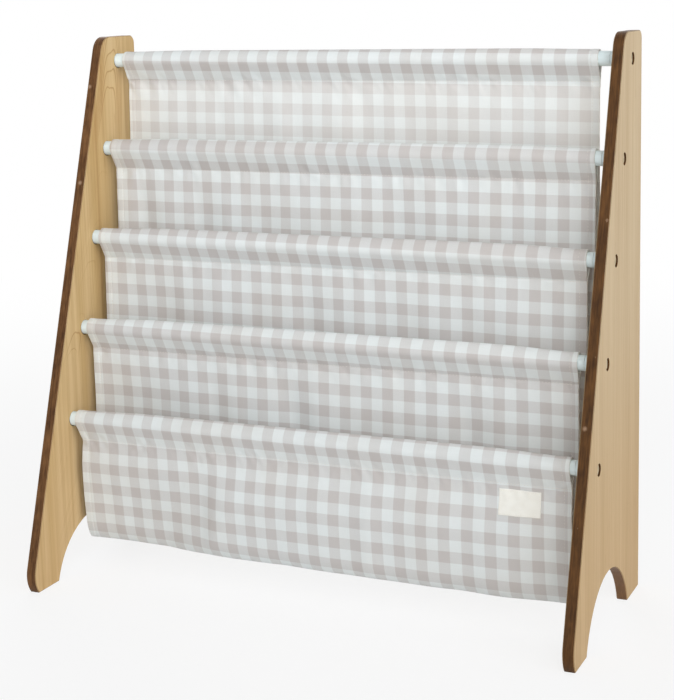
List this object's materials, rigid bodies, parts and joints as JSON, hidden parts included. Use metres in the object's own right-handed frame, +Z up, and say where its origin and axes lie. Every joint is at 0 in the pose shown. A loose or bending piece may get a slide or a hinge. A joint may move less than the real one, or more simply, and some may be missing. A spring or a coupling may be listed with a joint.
{
  "type": "sling bookshelf",
  "caption": "Low child's bookshelf: two shaped side panels joined by round rods, with a gingham cloth hung in book pockets.",
  "frame": {"origin": "on the floor, below the middle of the shelf's box", "axes": "+X along the rods to the right panel, +Y to the back, +Z up"},
  "size_m": [0.628, 0.261, 0.61],
  "materials": {
    "board": "pale printed wood face with a dark brown edge",
    "rod": "white powder coat",
    "cap": "white",
    "bolt": "dull zinc",
    "cloth": "white and taupe gingham canvas",
    "label": "cream woven tape, bare"
  },
  "bodies": {
    "root": {"side_panel_left": "board", "side_panel_right": "board", "rod_tube_1": "rod", "rod_cap_left_1": "cap", "rod_cap_right_1": "cap", "panel_bolt_left_1": "bolt", "panel_bolt_right_1": "bolt", "cloth_sleeve_1": "cloth", "rod_tube_2": "rod", "rod_cap_left_2": "cap", "rod_cap_right_2": "cap", "panel_bolt_left_2": "bolt", "panel_bolt_right_2": "bolt", "cloth_sleeve_2": "cloth", "rod_tube_3": "rod", "rod_cap_left_3": "cap", "rod_cap_right_3": "cap", "panel_bolt_left_3": "bolt", "panel_bolt_right_3": "bolt", "cloth_sleeve_3": "cloth", "rod_tube_4": "rod", "rod_cap_left_4": "cap", "rod_cap_right_4": "cap", "panel_bolt_left_4": "bolt", "panel_bolt_right_4": "bolt", "cloth_sleeve_4": "cloth", "rod_tube_5": "rod", "rod_cap_left_5": "cap", "rod_cap_right_5": "cap", "panel_bolt_left_5": "bolt", "panel_bolt_right_5": "bolt", "cloth_sleeve_5": "cloth", "cloth_sling_1": "cloth", "cloth_sling_2": "cloth", "cloth_sling_3": "cloth", "cloth_sling_4": "cloth", "cloth_label": "label"}
  },
  "joints": []
}
